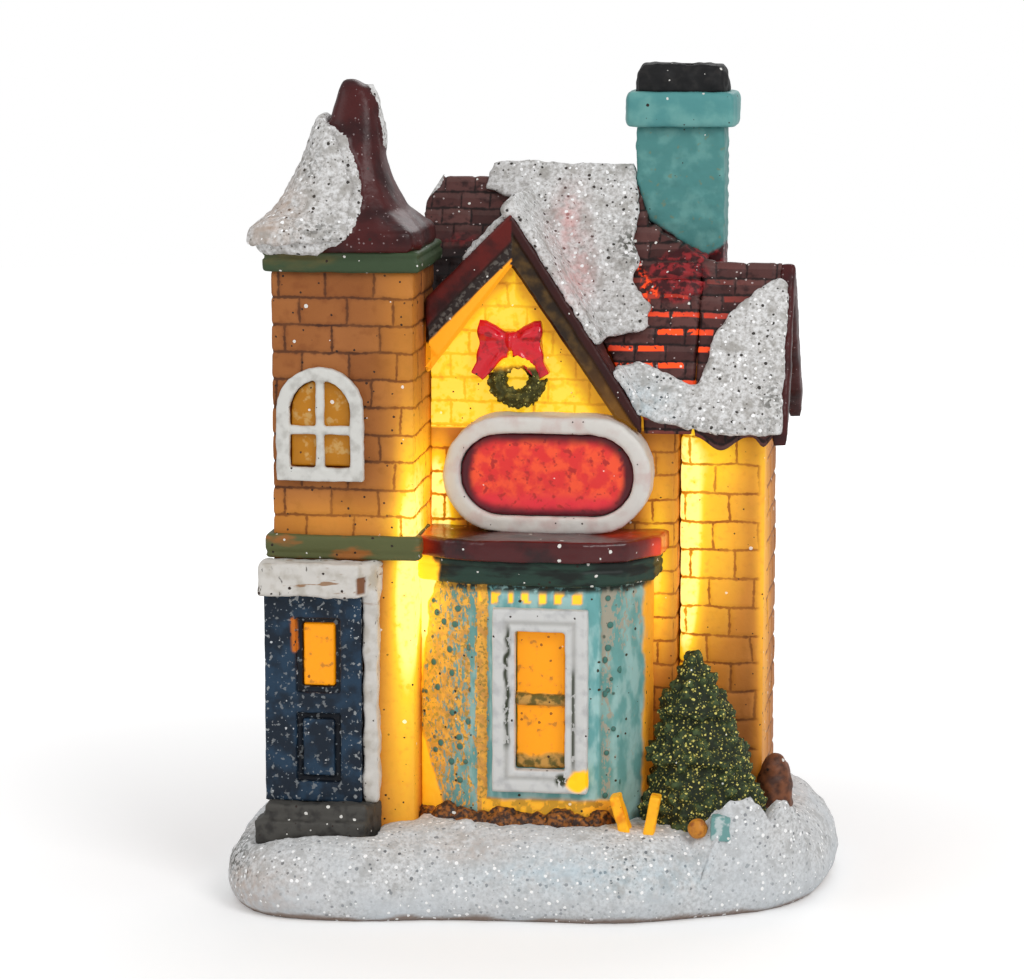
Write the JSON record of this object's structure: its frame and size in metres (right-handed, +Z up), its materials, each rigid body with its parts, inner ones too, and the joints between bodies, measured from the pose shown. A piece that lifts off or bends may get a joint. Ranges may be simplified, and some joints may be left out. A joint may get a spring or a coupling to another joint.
{
  "type": "christmas village shop",
  "caption": "Lit resin village shop with a tower, gabled front, bow window, snowy roofs and a snow base that holds a battery light module.",
  "frame": {"origin": "middle of the base's bounding rectangle, on the plane that it stands on", "axes": "+X to the right seen from the front, +Y to the back, +Z up"},
  "size_m": [0.086, 0.066, 0.1169],
  "materials": {
    "snow": "matte with glitter grains",
    "brick": "matte hand-painted",
    "green_trim": "matte hand-painted",
    "maroon": "satin enamel",
    "shingle": "satin enamel",
    "teal": "matte hand-painted",
    "soot_black": "matte",
    "white_paint": "satin hand-painted",
    "navy": "satin enamel",
    "amber": "glossy translucent",
    "step_grey": "matte",
    "red_enamel": "glossy enamel",
    "wreath_green": "matte with glitter grains",
    "fir_green": "matte with gold glitter",
    "stone_brown": "satin",
    "orange": "satin",
    "housing_plastic": "fine matte moulded",
    "screw_steel": "zinc plated",
    "cell_steel": "bright nickel",
    "contact_metal": "nickel",
    "board_green": "solder mask",
    "resistor_tan": "lacquer",
    "lamp_lens": "clear warm white",
    "wire_red": "satin vinyl"
  },
  "bodies": {
    "house": {"snow_base": "snow", "tower_walls": "brick", "shop_walls": "brick", "wing_walls": "brick", "string_course": "green_trim", "tower_cornice": "green_trim", "tower_roof": "maroon", "main_roof": "shingle", "gable_roof": "shingle", "gable_fascia": "maroon", "wing_roof": "shingle", "wing_barge_board": "maroon", "chimney_stack": "teal", "chimney_collar": "teal", "chimney_cap": "soot_black", "door_surround": "white_paint", "front_door": "navy", "door_window": "amber", "door_step": "step_grey", "bay_front": "teal", "bay_window_frame": "white_paint", "bay_window_pane": "amber", "bay_cornice": "green_trim", "bay_ledge": "maroon", "sign_frame": "white_paint", "sign_panel": "red_enamel", "tower_window_frame": "white_paint", "tower_window_pane": "amber", "wreath": "wreath_green", "bow": "red_enamel", "pine_tree": "fir_green", "corner_rock": "stone_brown", "rock_edging": "stone_brown", "tree_ball": "orange", "small_parcel": "teal", "left_slab": "orange", "right_slab": "orange", "tower_snow": "snow", "main_roof_snow": "snow", "wing_roof_snow": "snow", "module_housing": "housing_plastic", "switch_body": "screw_steel", "cell_1": "cell_steel", "cell_2": "cell_steel", "cell_3": "cell_steel", "spring_contact": "contact_metal", "plate_contact": "contact_metal", "circuit_board": "board_green", "resistor": "resistor_tan", "led_left": "lamp_lens", "led_right": "lamp_lens", "led_wire_left": "wire_red", "led_wire_right": "wire_red", "switch_lead_1": "contact_metal", "switch_lead_2": "contact_metal"},
    "battery_door": {"battery_door": "housing_plastic"},
    "door_screw": {"door_screw": "screw_steel"},
    "switch_slider": {"switch_slider": "soot_black"}
  },
  "joints": [
    {"name": "battery_door_hinge", "type": "hinge", "parent": "house", "child": "battery_door", "pos_m": [-0.00975, 0.00535, 0.0016], "axis": [0, 1, 0], "range_deg": [0, 80]},
    {"name": "door_screw_turn", "type": "hinge", "parent": "battery_door", "child": "door_screw", "pos_m": [0.01215, 0.00535, 0], "axis": [0, 0, 1], "continuous": true},
    {"name": "switch_slide", "type": "slide", "parent": "house", "child": "switch_slider", "axis": [1, 0, 0], "range_m": [0, 0.003]}
  ]
}
